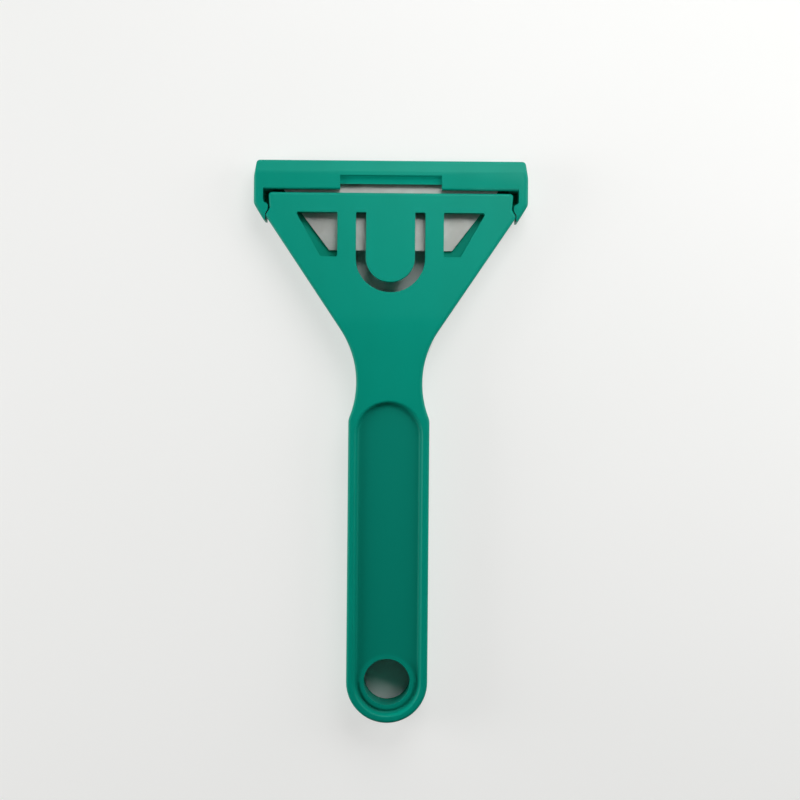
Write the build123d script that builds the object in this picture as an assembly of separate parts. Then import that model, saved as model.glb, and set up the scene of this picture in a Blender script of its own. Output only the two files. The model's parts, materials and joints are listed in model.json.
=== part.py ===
from build123d import *
import math
import os

# A ceramic hob scraper that lies on its back.
# +Y points towards the blade, +X to the right and +Z up, out of the front face.
# The origin is under the middle of the whole object, on the surface that it lies on. Millimetres.

# Overall
overall_length = 150.0
cut_overrun = 5.0

# Blade
blade_length = 62.0
blade_back_length = 33.0
blade_width = 19.0
blade_thickness = 0.6
blade_edge_thickness = 0.08
blade_bevel_width = 1.5
blade_notch_width = 3.0
blade_notch_depth = 3.0
blade_notch_radius = 0.8
blade_notch_spacing = 9.2
blade_reach = 3.8
blade_slot_side_clearance = 0.3
blade_slot_back_clearance = 0.25
blade_slot_face_clearance = 0.1

# Handle and waist
body_thickness = 10.0
handle_width = 21.6
waist_inset = 2.0
waist_radius = 25.2
waist_from_front = 50.8
waist_to_handle_radius = 4.0
body_edge_radius = 0.8

# Head
head_side_margin = 2.55
head_front_step = 0.75
head_front_thickness = 5.7
head_taper_length = 33.8
head_taper_blend_radius = 30.0
head_corner_radius = 0.9
head_shoulder_inset = 6.3
head_notch_depth = 0.4
head_notch_inset = 4.4

# Triangular windows in the front plate
window_inset = 5.3
window_height = 12.0
window_web_width = 4.93
window_top_ledge = 1.35
window_foot_ledge = 2.2
window_corner_radius = 0.4

# Sprung tongue and the slot round it
tongue_length = 18.7
tongue_side_margin = 0.47
tongue_thickness = 1.8
tongue_gap = 2.7
tongue_bar_side_inset = 0.3
tongue_bar_back_inset = 0.6
tongue_bar_clearance = 0.1
tongue_peg_clearance = 0.3
tongue_peg_overshoot = 0.4

# Opening in the rear plate, behind the tongue
rear_opening_margin = 2.7
rear_opening_bridge = 6.1
rear_opening_corner_radius = 1.5

# Sunken panels on both faces of the handle
panel_rim_width = 1.95
panel_depth = 1.6
panel_draft = 20.0
panel_edge_radius = 0.8
panel_top_from_front = 55.9

# Hanging hole and the low ring round it
ring_height = 0.7
ring_foot_gap = 1.1
ring_foot_width = 1.6
ring_top_width = 0.9

# Blade guard
guard_depth = 7.95
guard_gap = 0.85
guard_side_overhang = 3.15
guard_end_taper = 0.8
guard_end_taper_length = 4.5
guard_end_blend_radius = 8.0
guard_bevel_width = 3.1
guard_bevel_drop = 1.0
guard_corner_radius = 1.3
guard_edge_radius = 1.0
guard_back_edge_radius = 0.5
guard_front_wall = 2.2
guard_face_wall = 1.5
guard_floor_thickness = 1.1
guard_floor_clearance = 0.15
guard_floor_reach = 5.0
guard_cavity_margin = 0.8
guard_notch_width = 27.2
guard_notch_depth = 0.9
guard_notch_reach = 3.8
guard_notch_slope = 0.5
guard_notch_opening = 1.55
guard_arm_thickness = 2.5
guard_arm_overlap = 1.1
guard_arm_tip_taper_length = 4.35
guard_arm_side_radius = 2.5
guard_arm_tip_thickness = 0.5
guard_nose_clearance = 0.1
guard_nose_seat_gap = 0.3
guard_nose_root_rise = 1.9
guard_nose_face_rise = 1.1
guard_nose_radius = 0.5

# Places along the object
end_y = -overall_length / 2
guard_front_y = overall_length / 2
guard_back_y = guard_front_y - guard_depth
head_front_y = guard_back_y - guard_gap
head_notch_y = head_front_y - head_notch_inset
head_shoulder_y = head_front_y - head_shoulder_inset
head_taper_y = head_front_y - head_taper_length
guard_arm_tip_y = head_shoulder_y - guard_arm_overlap
guard_floor_y = guard_back_y - guard_floor_reach
blade_edge_y = head_front_y + blade_reach
blade_back_y = blade_edge_y - blade_width
window_top_y = head_front_y - window_inset
window_foot_y = window_top_y - window_height
rear_opening_top_y = head_front_y - rear_opening_bridge
waist_y = head_front_y - waist_from_front
panel_top_y = head_front_y - panel_top_from_front

# Places across the object
blade_back_half = blade_back_length / 2
blade_slant = (blade_length - blade_back_length) / 2 / blade_width
head_shoulder_half = blade_length / 2 + head_side_margin
head_front_half = head_shoulder_half - head_front_step
head_notch_half = head_front_half - head_notch_depth
guard_half = head_shoulder_half + guard_side_overhang
guard_arm_inner_half = guard_half - guard_arm_thickness
tongue_half = (blade_notch_spacing + blade_notch_width) / 2 + tongue_side_margin
tongue_slot_half = tongue_half + tongue_gap
rear_opening_half = tongue_slot_half + rear_opening_margin
handle_half = handle_width / 2
panel_half = handle_half - panel_rim_width
ring_foot_radius = panel_half - ring_foot_gap
hole_radius = ring_foot_radius - ring_foot_width
ring_top_radius = hole_radius + ring_top_width
waist_half = handle_half - waist_inset
waist_centre_x = waist_half + waist_radius

# Places that follow from both
handle_end_centre_y = end_y + handle_half
tongue_end_y = window_top_y - tongue_length
tongue_arc_y = tongue_end_y + tongue_half

# Heights
middle_z = body_thickness / 2
panel_z = body_thickness - panel_depth
head_back_z = middle_z - head_front_thickness / 2
head_face_z = middle_z + head_front_thickness / 2
blade_face_z = middle_z + blade_thickness / 2
blade_back_z = middle_z - blade_thickness / 2
slot_face_z = blade_face_z + blade_slot_face_clearance
slot_back_z = blade_back_z - blade_slot_face_clearance
guard_notch_z = head_face_z - guard_notch_depth
head_back_low_z = head_back_z * (guard_floor_y - head_taper_y) / head_taper_length
guard_floor_z = head_back_low_z - guard_floor_clearance
guard_back_z = guard_floor_z - guard_floor_thickness
over_z = body_thickness + cut_overrun
under_z = -cut_overrun


# Drawing helpers
def prism(outline, low_z, high_z):
    return extrude(Pos(0, 0, low_z) * outline, amount=high_z - low_z)


def across(profile, half_width):
    # A side view drawn as (y, z), pushed out to both sides of the middle plane.
    return extrude(Plane.YZ * profile, amount=half_width, both=True)


def closed_by_mirror(right_half):
    # The right half of an outline, from the middle line round to the middle line, and its mirror image.
    return make_face(Curve() + [right_half, mirror(right_half, about=Plane.YZ)])


def both_sides(solid):
    return solid + mirror(solid, about=Plane.YZ)


def front_and_back(solid):
    # The handle is alike on both faces, so what is cut in front is cut behind too.
    return solid + mirror(solid, about=Plane.XY.offset(middle_z))


def arch(half_width, arc_y, top_y, corner_radius):
    # A strip with a round lower end about arc_y and a square upper end.
    sides = FilletPolyline(
        (-half_width, arc_y),
        (-half_width, top_y),
        (half_width, top_y),
        (half_width, arc_y),
        radius=corner_radius,
    )
    foot = ThreePointArc((half_width, arc_y), (0, arc_y - half_width), (-half_width, arc_y))
    return make_face(Curve() + [sides, foot])


def rounded_slot(half_width, low_arc_y, high_arc_y):
    low = (0, low_arc_y - half_width)
    high = (0, high_arc_y + half_width)
    right = Line((half_width, low_arc_y), (half_width, high_arc_y))
    top = ThreePointArc((half_width, high_arc_y), high, (-half_width, high_arc_y))
    left = Line((-half_width, high_arc_y), (-half_width, low_arc_y))
    foot = ThreePointArc((-half_width, low_arc_y), low, (half_width, low_arc_y))
    return make_face(Curve() + [right, top, left, foot])


def tangent_from(point, centre, radius):
    # Where a line from the point touches the circle, on the side towards the middle of the object.
    reach_x = centre[0] - point[0]
    reach_y = centre[1] - point[1]
    distance = math.hypot(reach_x, reach_y)
    turn = math.atan2(reach_y, reach_x) - math.asin(radius / distance)
    length = math.sqrt(distance**2 - radius**2)
    return (point[0] + length * math.cos(turn), point[1] + length * math.sin(turn))


def head_face_at(y):
    # Height of the head's sloping front face.
    return body_thickness - (body_thickness - head_face_z) * (y - head_taper_y) / head_taper_length


def blade_half_at(y):
    # Half the width between the blade's slanted ends.
    return blade_back_half + blade_slant * (y - blade_back_y)


def perimeter_edges(solid, kept):
    # The edges between the walls and the two faces: neither upright nor across a face.
    flat = [edge for edge in solid.edges() if abs(edge.tangent_at(0.5).Z) < math.cos(math.pi / 4)]
    return [edge for edge in flat if kept(edge.center())]


# Scraper body
def body_outline():
    shoulder = (head_shoulder_half, head_shoulder_y)
    flank_end = tangent_from(shoulder, (waist_centre_x, waist_y), waist_radius)
    head = FilletPolyline(
        (0, head_front_y),
        (head_front_half, head_front_y),
        (head_notch_half, head_notch_y),
        shoulder,
        flank_end,
        radius=head_corner_radius,
    )
    # The waist's arc runs into a small convex arc, which ends on the handle's straight side.
    swell_x = handle_half - waist_to_handle_radius
    centre_distance = waist_radius + waist_to_handle_radius
    swell_y = waist_y - math.sqrt(centre_distance**2 - (waist_centre_x - swell_x) ** 2)
    along_share = waist_radius / centre_distance
    waist_end_x = waist_centre_x + (swell_x - waist_centre_x) * along_share
    waist_end_y = waist_y + (swell_y - waist_y) * along_share
    waist = ThreePointArc(flank_end, (waist_half, waist_y), (waist_end_x, waist_end_y))
    swell = RadiusArc((waist_end_x, waist_end_y), (handle_half, swell_y), waist_to_handle_radius)
    side = Line((handle_half, swell_y), (handle_half, handle_end_centre_y))
    foot = RadiusArc((handle_half, handle_end_centre_y), (0, end_y), handle_half)
    return closed_by_mirror(Curve() + [head, waist, swell, side, foot])


def body_side_view():
    # Parallel along the handle and thinner towards the head's front.
    face = FilletPolyline(
        (end_y, body_thickness),
        (head_taper_y, body_thickness),
        (head_front_y, head_face_z),
        radius=head_taper_blend_radius,
    )
    back = FilletPolyline(
        (head_front_y, head_back_z),
        (head_taper_y, 0),
        (end_y, 0),
        radius=head_taper_blend_radius,
    )
    front = Line((head_front_y, head_face_z), (head_front_y, head_back_z))
    end = Line((end_y, 0), (end_y, body_thickness))
    return make_face(Curve() + [face, front, back, end])


def body_blank():
    blank = prism(body_outline(), 0, body_thickness) & across(body_side_view(), head_shoulder_half)

    def at_the_rim(centre):
        # Between the handle's end and the head's front, the middle line only meets the taper's smooth start.
        beside_middle = abs(centre.X) > body_edge_radius
        return beside_middle or centre.Y > head_notch_y or centre.Y < end_y / 2

    return fillet(perimeter_edges(blank, at_the_rim), radius=body_edge_radius)


def panel_cutter():
    # The sunken panel of the front face, with a coved floor, and the hole's ring left standing in it.
    outline = rounded_slot(panel_half, handle_end_centre_y, panel_top_y - panel_half)
    mouth = Pos(0, 0, body_thickness) * outline
    pocket = extrude(mouth, amount=-panel_depth, taper=panel_draft)
    floor = [edge for edge in pocket.edges() if abs(edge.center().Z - panel_z) < panel_edge_radius / 2]
    pocket = fillet(floor, radius=panel_edge_radius)
    pocket += extrude(mouth, amount=cut_overrun)
    standing = (Align.CENTER, Align.CENTER, Align.MIN)
    ring = Cone(ring_foot_radius, ring_top_radius, ring_height, align=standing)
    return pocket - Pos(0, handle_end_centre_y, panel_z) * ring


def hanging_hole():
    return Pos(0, handle_end_centre_y, middle_z) * Cylinder(hole_radius, body_thickness + cut_overrun)


def panel_mouth_edges(body):
    # The edges between the handle's faces and the walls of its two panels.
    reach = (panel_half + handle_half) / 2
    inside = [edge for edge in body.edges() if abs(edge.center().X) < reach]
    inside = [edge for edge in inside if end_y + panel_rim_width / 2 < edge.center().Y < waist_y]
    return [edge for edge in inside if abs(abs(edge.center().Z - middle_z) - middle_z) < panel_depth / 2]


def window_cutter():
    # One triangular window with a cut-off foot, down to the blade slot's far side.
    inner_half = tongue_slot_half + window_web_width
    outline = FilletPolyline(
        (inner_half, window_foot_y),
        (inner_half, window_top_y),
        (blade_half_at(window_top_y) + window_top_ledge, window_top_y),
        (blade_back_half + window_foot_ledge, window_foot_y),
        close=True,
        radius=window_corner_radius,
    )
    return prism(make_face(outline), slot_back_z, over_z)


def blade_slot():
    # It widens towards the front as the blade does, and is open there.
    back_y = blade_back_y - blade_slot_back_clearance
    front_y = head_front_y + cut_overrun
    back_half = blade_half_at(back_y) + blade_slot_side_clearance
    front_half = blade_half_at(front_y) + blade_slot_side_clearance
    outline = Polyline(
        (-back_half, back_y),
        (-front_half, front_y),
        (front_half, front_y),
        (back_half, back_y),
        close=True,
    )
    return prism(make_face(outline), slot_back_z, slot_face_z)


def make_scraper_body():
    body = body_blank()
    body -= front_and_back(panel_cutter())
    body -= hanging_hole()
    body = fillet(panel_mouth_edges(body), radius=panel_edge_radius)
    body -= both_sides(window_cutter())
    body -= blade_slot()
    front_slot = arch(tongue_slot_half, tongue_arc_y, window_top_y, window_corner_radius)
    body -= prism(front_slot, slot_back_z, over_z)
    rear_opening = arch(rear_opening_half, tongue_arc_y, rear_opening_top_y, rear_opening_corner_radius)
    body -= prism(rear_opening, under_z, slot_face_z)
    return body


# Blade latch, the sprung tongue
def make_blade_latch():
    plan = arch(tongue_half, tongue_arc_y, window_top_y, 0)
    face_end_z = head_face_at(tongue_end_y)
    face_root_z = head_face_at(window_top_y)
    side_view = Polyline(
        (tongue_end_y, face_end_z),
        (window_top_y, face_root_z),
        (window_top_y, face_root_z - tongue_thickness),
        (tongue_end_y, face_end_z - tongue_thickness),
        close=True,
    )
    tongue = prism(plan, 0, body_thickness) & across(make_face(side_view), tongue_half)
    # A bar presses on the blade's face, and two pegs below it sit in the blade's notches.
    bar_width = 2 * (tongue_half - tongue_bar_side_inset)
    bar_back_y = blade_back_y + tongue_bar_back_inset
    bar_front_y = blade_back_y + blade_notch_depth - tongue_peg_clearance
    bar_length = bar_front_y - bar_back_y
    bar_top_z = head_face_at(bar_front_y) - tongue_thickness / 2
    bar_foot_z = blade_face_z + tongue_bar_clearance
    hanging = (Align.CENTER, Align.MIN, Align.MAX)
    bar = Box(bar_width, bar_length, bar_top_z - bar_foot_z, align=hanging)
    tongue += Pos(0, bar_back_y, bar_top_z) * bar
    peg_width = blade_notch_width - 2 * tongue_peg_clearance
    peg_foot_z = blade_back_z - tongue_peg_overshoot
    peg = Box(peg_width, bar_length, bar_top_z - peg_foot_z, align=hanging)
    tongue += both_sides(Pos(blade_notch_spacing / 2, bar_back_y, bar_top_z) * peg)
    return tongue


# Blade
def make_blade():
    outline = Polyline(
        (-blade_back_half, blade_back_y),
        (-blade_length / 2, blade_edge_y),
        (blade_length / 2, blade_edge_y),
        (blade_back_half, blade_back_y),
        close=True,
    )
    bevel_y = blade_edge_y - blade_bevel_width
    section = Polyline(
        (blade_back_y, blade_back_z),
        (bevel_y, blade_back_z),
        (blade_edge_y, middle_z - blade_edge_thickness / 2),
        (blade_edge_y, middle_z + blade_edge_thickness / 2),
        (bevel_y, blade_face_z),
        (blade_back_y, blade_face_z),
        close=True,
    )
    plate = prism(make_face(outline), blade_back_z, blade_face_z)
    blade = plate & across(make_face(section), blade_length / 2)
    notch_half = blade_notch_width / 2
    notch_foot_y = blade_back_y - cut_overrun
    notch_top_y = blade_back_y + blade_notch_depth
    notch = FilletPolyline(
        (-notch_half, notch_foot_y),
        (-notch_half, notch_top_y),
        (notch_half, notch_top_y),
        (notch_half, notch_foot_y),
        radius=blade_notch_radius,
    )
    foot = Line((notch_half, notch_foot_y), (-notch_half, notch_foot_y))
    cutter = prism(make_face(Curve() + [notch, foot]), under_z, over_z)
    return blade - both_sides(Pos(blade_notch_spacing / 2, 0, 0) * cutter)


# Blade guard
def guard_outer_outline():
    right = FilletPolyline(
        (0, guard_front_y),
        (guard_half - guard_end_taper, guard_front_y),
        (guard_half, guard_front_y - guard_end_taper_length),
        (guard_half, guard_arm_tip_y + guard_arm_tip_taper_length),
        (head_shoulder_half + guard_arm_tip_thickness, guard_arm_tip_y),
        (0, guard_arm_tip_y),
        radius=[guard_corner_radius, guard_end_blend_radius, guard_arm_side_radius, 0],
    )
    return closed_by_mirror(right)


def guard_inner_outline():
    # The space between the arms. Their noses follow the notches' lower flanks and stop short of them,
    # and their tips clear the head's shoulders because those are rounded inside their sharp corners.
    below_y = guard_arm_tip_y - cut_overrun
    flank_x = head_shoulder_half - head_notch_half
    flank_y = head_notch_y - head_shoulder_y
    flank_length = math.hypot(flank_x, flank_y)
    seat_x = head_shoulder_half + guard_nose_seat_gap * flank_y / flank_length
    seat_y = head_shoulder_y + guard_nose_seat_gap * flank_x / flank_length
    nose_half = head_front_half + guard_nose_clearance
    right = FilletPolyline(
        (0, guard_back_y),
        (guard_arm_inner_half, guard_back_y),
        (guard_arm_inner_half, head_notch_y + guard_nose_root_rise),
        (nose_half, head_notch_y + guard_nose_face_rise),
        (nose_half, seat_y + (seat_x - nose_half) * flank_y / flank_x),
        (head_shoulder_half, seat_y + (seat_x - head_shoulder_half) * flank_y / flank_x),
        (head_shoulder_half, below_y),
        (0, below_y),
        radius=[0, guard_nose_radius, guard_nose_radius, guard_nose_radius, guard_nose_radius, 0],
    )
    return closed_by_mirror(right)


def guard_side_view():
    # Both faces slope down to a rounded front edge.
    bevel_y = guard_front_y - guard_bevel_width
    outline = FilletPolyline(
        (guard_arm_tip_y, guard_back_z),
        (bevel_y, guard_back_z),
        (guard_front_y, guard_back_z + guard_bevel_drop),
        (guard_front_y, head_face_z - guard_bevel_drop),
        (bevel_y, head_face_z),
        (guard_arm_tip_y, head_face_z),
        radius=[0, guard_edge_radius, guard_edge_radius, 0],
    )
    tip = Line((guard_arm_tip_y, head_face_z), (guard_arm_tip_y, guard_back_z))
    return make_face(Curve() + [outline, tip])


def guard_notch_cutter():
    # A notch in the front face: a sloping front wall, a shelf, and a gap behind it down to the blade.
    mouth_y = guard_back_y + guard_notch_reach
    shelf_y = guard_back_y + guard_notch_opening
    behind_y = guard_back_y - cut_overrun
    profile = Polyline(
        (mouth_y, over_z),
        (mouth_y, head_face_z),
        (mouth_y - guard_notch_slope, guard_notch_z),
        (shelf_y, guard_notch_z),
        (shelf_y, middle_z),
        (behind_y, middle_z),
        (behind_y, over_z),
        close=True,
    )
    return across(make_face(profile), guard_notch_width / 2)


def head_space():
    # The space between the arms, above a floor that closes the gap behind the head's front.
    floor_width = 2 * guard_arm_inner_half
    on_back_edge = (Align.CENTER, Align.MAX, Align.MAX)
    floor = Box(floor_width, guard_floor_reach, guard_floor_z - under_z, align=on_back_edge)
    return prism(guard_inner_outline(), under_z, over_z) - Pos(0, guard_back_y, guard_floor_z) * floor


def blade_space():
    width = blade_length + 2 * guard_cavity_margin
    depth = guard_depth - guard_front_wall
    height = head_face_z - guard_face_wall - guard_floor_z
    on_floor = (Align.CENTER, Align.MAX, Align.MIN)
    return Pos(0, guard_back_y + depth, guard_floor_z) * Box(width, depth, height, align=on_floor)


def make_blade_guard():
    guard = prism(guard_outer_outline(), guard_back_z, head_face_z)
    low_y = guard_arm_tip_y + guard_edge_radius / 2
    guard = fillet(perimeter_edges(guard, lambda centre: centre.Y > low_y), radius=guard_edge_radius)
    guard &= across(guard_side_view(), guard_half)
    guard -= head_space()
    back = [edge for edge in guard.edges() if abs(edge.center().Y - guard_back_y) < guard_back_edge_radius]
    back = [edge for edge in back if abs(edge.center().X) < guard_back_edge_radius]
    back = [edge for edge in back if edge.center().Z > middle_z]
    guard = fillet(back, radius=guard_back_edge_radius)
    return guard - blade_space() - guard_notch_cutter()


nodes = {
    "scraper_body": make_scraper_body(),
    "blade_latch": make_blade_latch(),
    "blade": make_blade(),
    "blade_guard": make_blade_guard(),
}
os.makedirs("parts", exist_ok=True)
for name, node in nodes.items():
    export_step(node, f"parts/{name}.step")
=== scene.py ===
"""The looks of the ceramic hob scraper: two green mouldings and a steel blade on a white table.

Everything is in metres, in the frame of the CAD model: +Y points towards the blade, +Z is up, and the
scraper lies on its back with its front face to the camera.
"""
import json
import math
import bmesh
import bpy
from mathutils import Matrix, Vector

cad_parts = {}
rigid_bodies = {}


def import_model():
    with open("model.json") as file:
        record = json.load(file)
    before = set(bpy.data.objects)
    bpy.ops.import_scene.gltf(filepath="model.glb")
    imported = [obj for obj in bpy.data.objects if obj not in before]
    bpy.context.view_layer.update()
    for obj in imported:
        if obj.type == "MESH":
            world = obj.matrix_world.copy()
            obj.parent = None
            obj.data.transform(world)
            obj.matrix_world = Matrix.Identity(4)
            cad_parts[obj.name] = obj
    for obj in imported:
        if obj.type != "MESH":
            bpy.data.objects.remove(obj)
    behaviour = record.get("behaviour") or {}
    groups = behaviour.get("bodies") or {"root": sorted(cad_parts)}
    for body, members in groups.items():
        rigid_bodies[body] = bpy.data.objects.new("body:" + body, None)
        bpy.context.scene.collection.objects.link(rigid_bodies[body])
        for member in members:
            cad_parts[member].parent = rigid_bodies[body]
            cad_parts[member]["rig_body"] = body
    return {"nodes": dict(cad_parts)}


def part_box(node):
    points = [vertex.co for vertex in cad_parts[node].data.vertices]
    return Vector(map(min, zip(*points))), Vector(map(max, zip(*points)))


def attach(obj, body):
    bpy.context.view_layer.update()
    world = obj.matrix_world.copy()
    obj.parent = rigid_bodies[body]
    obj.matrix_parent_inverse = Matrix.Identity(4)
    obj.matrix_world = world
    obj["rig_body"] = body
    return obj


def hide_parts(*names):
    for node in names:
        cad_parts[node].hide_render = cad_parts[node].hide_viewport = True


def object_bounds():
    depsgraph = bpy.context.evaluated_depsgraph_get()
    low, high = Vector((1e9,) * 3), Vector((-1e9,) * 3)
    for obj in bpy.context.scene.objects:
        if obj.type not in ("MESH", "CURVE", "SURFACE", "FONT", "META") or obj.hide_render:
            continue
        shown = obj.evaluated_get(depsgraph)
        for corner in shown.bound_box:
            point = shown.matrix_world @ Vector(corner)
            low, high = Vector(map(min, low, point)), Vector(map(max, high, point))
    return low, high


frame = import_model()
cad_low, cad_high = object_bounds()

MM = 0.001

# The photograph: its size in pixels, its scale on the front face, and where its middle lies on the object
photo_width = 800
pixels_per_mm = 3.769
photo_middle = Vector((2.9 * MM, 10.87 * MM))
photo_turn = math.radians(0.5)
camera_height = 357 * MM
sensor_width = 36.0

# Edges
edge_radius = 0.18 * MM
guard_edge_radius = 0.2 * MM
edge_segments = 2
weld_distance = 0.0001 * MM
flat_angle = math.radians(0.05)
rounded_from_angle = math.radians(60)
crease_angle = math.radians(52)

# The handle and its sunken panels, whose floors and hole get painted shade
middle_z = (cad_low.z + cad_high.z) / 2
handle_end_y = -64.2 * MM
panel_depth = 1.6 * MM
panel_half = 8.85 * MM
panel_wall = 0.5 * MM
panel_lip = 0.3 * MM
panel_top_y = 10.3 * MM
panel_top_wall = 1 * MM

# The green plastic
plastic_ior = 1.49
plastic_gloss = 0.12
plastic_grain = 0.16 * MM
plastic_grain_height = 0.02 * MM
parting_line_half = 0.02 * MM
parting_line_reach = 0.09 * MM

# The table's glow: its share of what the camera sees, its colour, and the strip under the scraper without it
table_glow_share = 0.6
table_glow = (252, 252, 250)
seen_by = ("Camera", "Glossy", "Transmission")
covered_half = 8.3 * MM
covered_end_y = 60 * MM
covered_fade = 1 * MM
head_start_y = 20 * MM
head_widening = 0.4

# The table's round board, and the wall that it curves up into
board_radius = 2.0
board_sides = 72
cove_radius = 0.6
wall_height = 0.8

# The light
lamp_target = Vector((0, 20 * MM, 0))
sky_strength = 0.03


# Shader maths
class Value:
    """A socket of a material, so that shader maths reads as a formula."""

    def __init__(self, tree, socket):
        self.tree = tree
        self.socket = socket

    def node(self, kind, settings=None, inputs=None, output=0):
        """A new node in the same material, from its settings and the values or links of its sockets."""
        node = self.tree.nodes.new(kind)
        for name, value in (settings or {}).items():
            setattr(node, name, value)
        for name, value in (inputs or {}).items():
            if isinstance(value, Value):
                self.tree.links.new(value.socket, node.inputs[name])
            else:
                node.inputs[name].default_value = value
        return Value(self.tree, node.outputs[output])

    def maths(self, operation, *others):
        inputs = dict(enumerate((self, *others)))
        return self.node("ShaderNodeMath", {"operation": operation}, inputs)

    def __add__(self, other):
        return self.maths("ADD", other)

    __radd__ = __add__

    def __mul__(self, other):
        return self.maths("MULTIPLY", other)

    __rmul__ = __mul__

    def __sub__(self, other):
        return self.maths("SUBTRACT", other)

    def __rsub__(self, other):
        return (self * -1) + other

    def size(self):
        return self.maths("ABSOLUTE")

    def at_least(self, other):
        return self.maths("MAXIMUM", other)

    def between(self, low, high):
        """0 up to low, 1 from high on, and a smooth step between them."""
        sockets = {"Value": self, "From Min": low, "From Max": high}
        return self.node("ShaderNodeMapRange", {"interpolation_type": "SMOOTHSTEP"}, sockets)


def linear(red, green, blue):
    """A colour as a screen shows it, 0 to 255, as the linear colour that a shader takes."""
    shares = [channel / 255 for channel in (red, green, blue)]
    return tuple(s / 12.92 if s < 0.04045 else ((s + 0.055) / 1.055) ** 2.4 for s in shares)


class Finish:
    """A material in the making: its shader, and a place to start formulas from."""

    def __init__(self, name):
        self.material = bpy.data.materials.new(name)
        self.material.use_nodes = True
        self.tree = self.material.node_tree
        self.shader = self.tree.nodes["Principled BSDF"]
        coordinates = self.tree.nodes.new("ShaderNodeTexCoord")
        self.place = Value(self.tree, coordinates.outputs["Object"])

    def set(self, **sockets):
        """Sets the shader's sockets, named with _ for a space, to numbers, colours or values."""
        for name, value in sockets.items():
            socket = self.shader.inputs[name.replace("_", " ")]
            if isinstance(value, Value):
                self.tree.links.new(value.socket, socket)
            else:
                socket.default_value = value

    def noise(self, grain, detail=2.0, roughness=0.5, stretch=(1, 1, 1)):
        """Soft noise from 0 to 1 whose spots are about grain wide, stretched along the axes."""
        scale = tuple(1 / s for s in stretch)
        mapped = self.place.node("ShaderNodeMapping", {}, {"Vector": self.place, "Scale": scale})
        sockets = {"Vector": mapped, "Scale": 1 / grain, "Detail": detail, "Roughness": roughness}
        return self.place.node("ShaderNodeTexNoise", {}, sockets)

    def place_along(self, axis):
        """The place on the object along one of its axes."""
        return self.place.node("ShaderNodeSeparateXYZ", {}, {"Vector": self.place}, output=axis)

    def from_midline(self):
        """Distance across the handle from its middle line, and round the line's end near the hanging hole."""
        x = self.place_along("X")
        past_the_end = (handle_end_y - self.place_along("Y")).at_least(0)
        return (x * x + past_the_end * past_the_end).maths("SQRT")

    def bump(self, height, distance, strength):
        sockets = {"Height": height, "Distance": distance, "Strength": strength}
        return self.place.node("ShaderNodeBump", {}, sockets)

    def mix(self, share, first, second):
        """A blend of two colours, each a linear colour or a value."""
        colours = [colour if isinstance(colour, Value) else (*colour, 1) for colour in (first, second)]
        sockets = {"Factor": share, "A": colours[0], "B": colours[1]}
        return self.place.node("ShaderNodeMix", {"data_type": "RGBA"}, sockets, output=2)


# Materials
def moulded_green(name, shade, deep_shade, painted_panel_shade=None):
    """Satin polypropylene: slight flow marks in its colour, a fine mould grain and a parting line, and
    painted shade on the handle's sunken panels where that colour is given.
    """
    finish = Finish(name)
    flow = finish.noise(grain=22 * MM, detail=3.0, stretch=(1, 2.5, 1)).between(0.3, 0.7)
    grain = finish.noise(grain=plastic_grain)
    handling = finish.noise(grain=6 * MM, detail=4.0, roughness=0.6)
    from_middle = (finish.place_along("Z") - middle_z).size()
    parting_line = 1 - from_middle.between(parting_line_half, parting_line_reach)
    surface = grain * 0.5 + parting_line * 1.2
    colour = finish.mix(flow, deep_shade, shade)
    roughness = 0.33 + 0.1 * handling + 0.05 * grain
    # Painted shade: a darker green on the panel floors and in the hole stands in for the shade in these
    # recesses; the extra roughness there is a real duller finish.
    if painted_panel_shade:
        recess_shade = painted_recess_shade(finish, from_middle)
        colour = finish.mix(recess_shade, colour, painted_panel_shade)
        roughness = roughness + 0.1 * recess_shade
    finish.set(
        Base_Color=colour,
        Roughness=roughness,
        Normal=finish.bump(surface, distance=plastic_grain_height, strength=0.4),
        IOR=plastic_ior,
        Specular_IOR_Level=plastic_gloss,
    )
    return finish.material


def painted_recess_shade(finish, from_middle):
    """1 where shade is painted and the finish is duller, on the floors of the handle's sunken panels and in
    its hole, 0 on the rim round them.
    """
    on_the_handle = 1 - finish.place_along("Y").between(panel_top_y - panel_top_wall, panel_top_y)
    inside = 1 - finish.from_midline().between(panel_half, panel_half + panel_wall)
    rim_height = cad_high.z - middle_z
    deep = 1 - from_middle.between(rim_height - panel_depth, rim_height - panel_lip)
    return deep * inside * on_the_handle


def ground_steel():
    """Blade strip: ground along its length, with fine streaks and a faint stain."""
    finish = Finish("ground_steel")
    streaks = finish.noise(grain=0.09 * MM, detail=3.0, stretch=(60, 1, 1))
    stain = finish.noise(grain=5 * MM, detail=3.0, roughness=0.55)
    finish.set(
        Base_Color=finish.mix(stain.between(0.35, 0.75), linear(206, 207, 202), linear(220, 221, 217)),
        Metallic=1.0,
        Roughness=0.42 + 0.12 * streaks + 0.06 * stain,
        Normal=finish.bump(streaks, distance=0.01 * MM, strength=0.5),
    )
    return finish.material


def white_table():
    """White board, which glows a little for the camera except where the scraper covers it."""
    finish = Finish("white_table")
    shade = finish.noise(grain=90 * MM).between(0.2, 0.8)
    finish.set(
        Base_Color=finish.mix(shade, linear(247, 248, 246), linear(251, 251, 250)),
        Roughness=0.75,
    )
    rays = [finish.place.node("ShaderNodeLightPath", output=f"Is {kind} Ray") for kind in seen_by]
    seen = rays[0].at_least(rays[1]).at_least(rays[2])
    y = finish.place_along("Y")
    half_width = (y - head_start_y).at_least(0) * head_widening + covered_half
    beside = (finish.from_midline() - half_width).between(0, covered_fade)
    beyond = y.between(covered_end_y, covered_end_y + covered_fade)
    glow = seen * beside.at_least(beyond) * table_glow_share
    light = finish.place.node("ShaderNodeEmission", {}, {"Color": (*linear(*table_glow), 1)})
    board = Value(finish.tree, finish.shader.outputs[0])
    mixed = finish.place.node("ShaderNodeMixShader", {}, {0: glow, 1: board, 2: light})
    output = finish.tree.nodes["Material Output"]
    finish.tree.links.new(mixed.socket, output.inputs["Surface"])
    return finish.material


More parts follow.
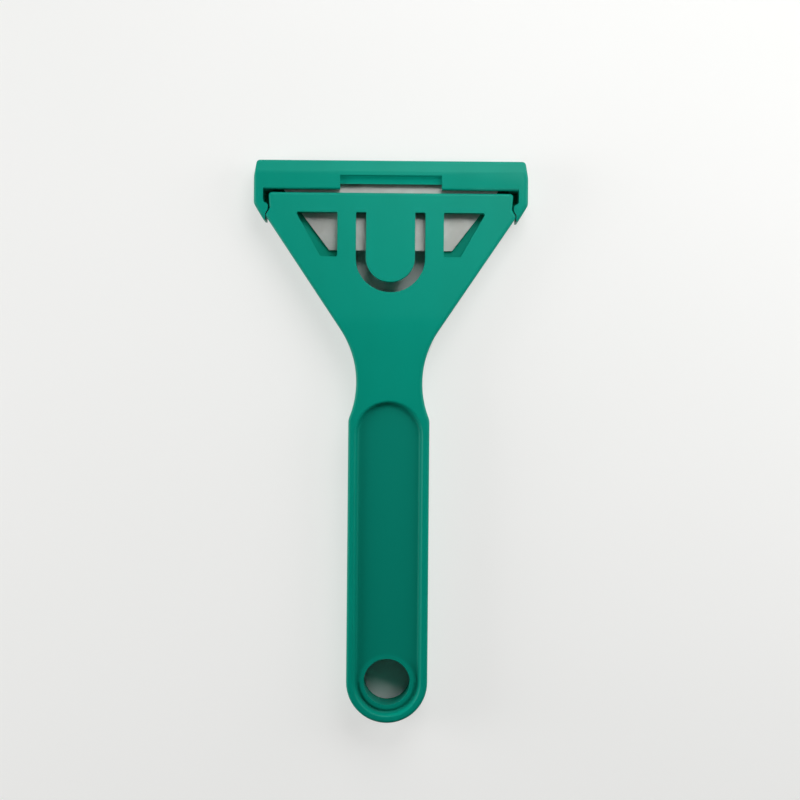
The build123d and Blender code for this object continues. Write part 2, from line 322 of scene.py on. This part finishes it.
# Pieces
def finished_copy(node, name, material, radius, stays_sharp):
    """A welded copy of a CAD node whose outer edges are rounded, apart from those that stay sharp."""
    shape = bmesh.new()
    shape.from_mesh(frame["nodes"][node].data)
    bmesh.ops.remove_doubles(shape, verts=shape.verts, dist=weld_distance)
    bmesh.ops.dissolve_limit(shape, angle_limit=flat_angle, verts=shape.verts, edges=shape.edges)
    weight = shape.edges.layers.float.new("bevel_weight_edge")
    for edge in shape.edges:
        outer = edge.is_convex and edge.calc_face_angle() > rounded_from_angle
        edge[weight] = 1.0 if outer and not stays_sharp(edge) else 0.0
    mesh = bpy.data.meshes.new(name)
    shape.to_mesh(mesh)
    shape.free()
    mesh.shade_smooth()
    mesh.set_sharp_from_angle(angle=crease_angle)
    mesh.materials.append(material)
    piece = bpy.data.objects.new(name, mesh)
    bpy.context.scene.collection.objects.link(piece)
    bevel = piece.modifiers.new("rounded edges", "BEVEL")
    bevel.limit_method = "WEIGHT"
    bevel.width = radius
    bevel.segments = edge_segments
    even = piece.modifiers.new("even shading", "WEIGHTED_NORMAL")
    even.keep_sharp = True
    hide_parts(node)
    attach(piece, frame["nodes"][node]["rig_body"])
    return piece


def make_pieces():
    # Painted shade: the darker green that stands in for the shade on the handle's sunken panels and in its
    # hole.
    painted_panel_shade = linear(0, 138, 118)
    green = moulded_green("moulded_green", linear(0, 156, 134), linear(0, 150, 128), painted_panel_shade)
    guard_green = moulded_green("guard_green", linear(0, 155, 133), linear(0, 149, 127))
    tongue_root_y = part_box("blade_latch")[1].y

    def at_the_root(edge):
        # The tongue and the body are one moulding, so their shared line shows no edge.
        return all(abs(vertex.co.y - tongue_root_y) < weld_distance for vertex in edge.verts)

    def nowhere(edge):
        return False

    body = finished_copy("scraper_body", "scraper", green, edge_radius, at_the_root)
    latch = finished_copy("blade_latch", "tongue", green, edge_radius, at_the_root)
    guard = finished_copy("blade_guard", "guard", guard_green, guard_edge_radius, nowhere)
    frame["nodes"]["blade"].material_slots[0].material = ground_steel()


# Surroundings
def set_camera():
    """Looks straight down on the front face from the photograph's height."""
    data = bpy.data.cameras.new("camera")
    data.sensor_width = sensor_width
    seen_width = photo_width / pixels_per_mm * MM
    data.lens = sensor_width * camera_height / seen_width
    camera = bpy.data.objects.new("camera", data)
    camera.location = (*photo_middle, cad_high.z + camera_height)
    camera.rotation_euler = (0, 0, photo_turn)
    bpy.context.scene.collection.objects.link(camera)
    bpy.context.scene.camera = camera


def lay_table():
    """A round white board whose edge curves up into a wall."""
    quarter = [math.radians(degrees) for degrees in range(0, 91, 10)]
    cove = [(board_radius + cove_radius * math.sin(a), cove_radius * (1 - math.cos(a))) for a in quarter]
    profile = [(0, 0), *cove, (board_radius + cove_radius, wall_height)]
    shape = bmesh.new()
    points = [shape.verts.new((radius, 0, cad_low.z + height)) for radius, height in profile]
    lines = [shape.edges.new(pair) for pair in zip(points, points[1:])]
    around = {"axis": (0, 0, 1), "cent": (0, 0, 0), "steps": board_sides, "angle": math.tau}
    bmesh.ops.spin(shape, geom=points + lines, **around)
    bmesh.ops.remove_doubles(shape, verts=shape.verts, dist=weld_distance)
    mesh = bpy.data.meshes.new("table")
    shape.to_mesh(mesh)
    shape.free()
    mesh.shade_smooth()
    mesh.materials.append(white_table())
    table = bpy.data.objects.new("table", mesh)
    bpy.context.scene.collection.objects.link(table)


def add_softbox(name, azimuth, elevation, distance, width, power):
    """A square soft lamp that faces the head. Azimuth 0 is towards +X and 90 towards +Y."""
    data = bpy.data.lights.new(name, "AREA")
    data.shape = "SQUARE"
    data.size = width
    data.energy = power
    lamp = bpy.data.objects.new(name, data)
    turn, lift = math.radians(azimuth), math.radians(elevation)
    way = Vector((math.cos(turn) * math.cos(lift), math.sin(turn) * math.cos(lift), math.sin(lift)))
    lamp.location = lamp_target + way * distance
    lamp.rotation_euler = (-way).to_track_quat("-Z", "Y").to_euler()
    bpy.context.scene.collection.objects.link(lamp)


def light_scene():
    """A faint even sky, and four soft lamps. The lamp over the head makes the head the brightest part."""
    world = bpy.data.worlds.new("studio")
    bpy.context.scene.world = world
    world.use_nodes = True
    sky = world.node_tree.nodes["Background"]
    sky.inputs["Color"].default_value = (1, 1, 1, 1)
    sky.inputs["Strength"].default_value = sky_strength
    add_softbox("over_the_head", azimuth=72, elevation=46, distance=0.347, width=0.2, power=0.64)
    add_softbox("beyond_the_head", azimuth=90, elevation=18, distance=0.5, width=0.25, power=0.27)
    add_softbox("left", azimuth=180, elevation=18, distance=0.5, width=0.25, power=1.45)
    add_softbox("right", azimuth=15, elevation=26, distance=0.345, width=0.2, power=0.47)
    bpy.context.scene.view_settings.view_transform = "Standard"


make_pieces()
set_camera()
lay_table()
light_scene()
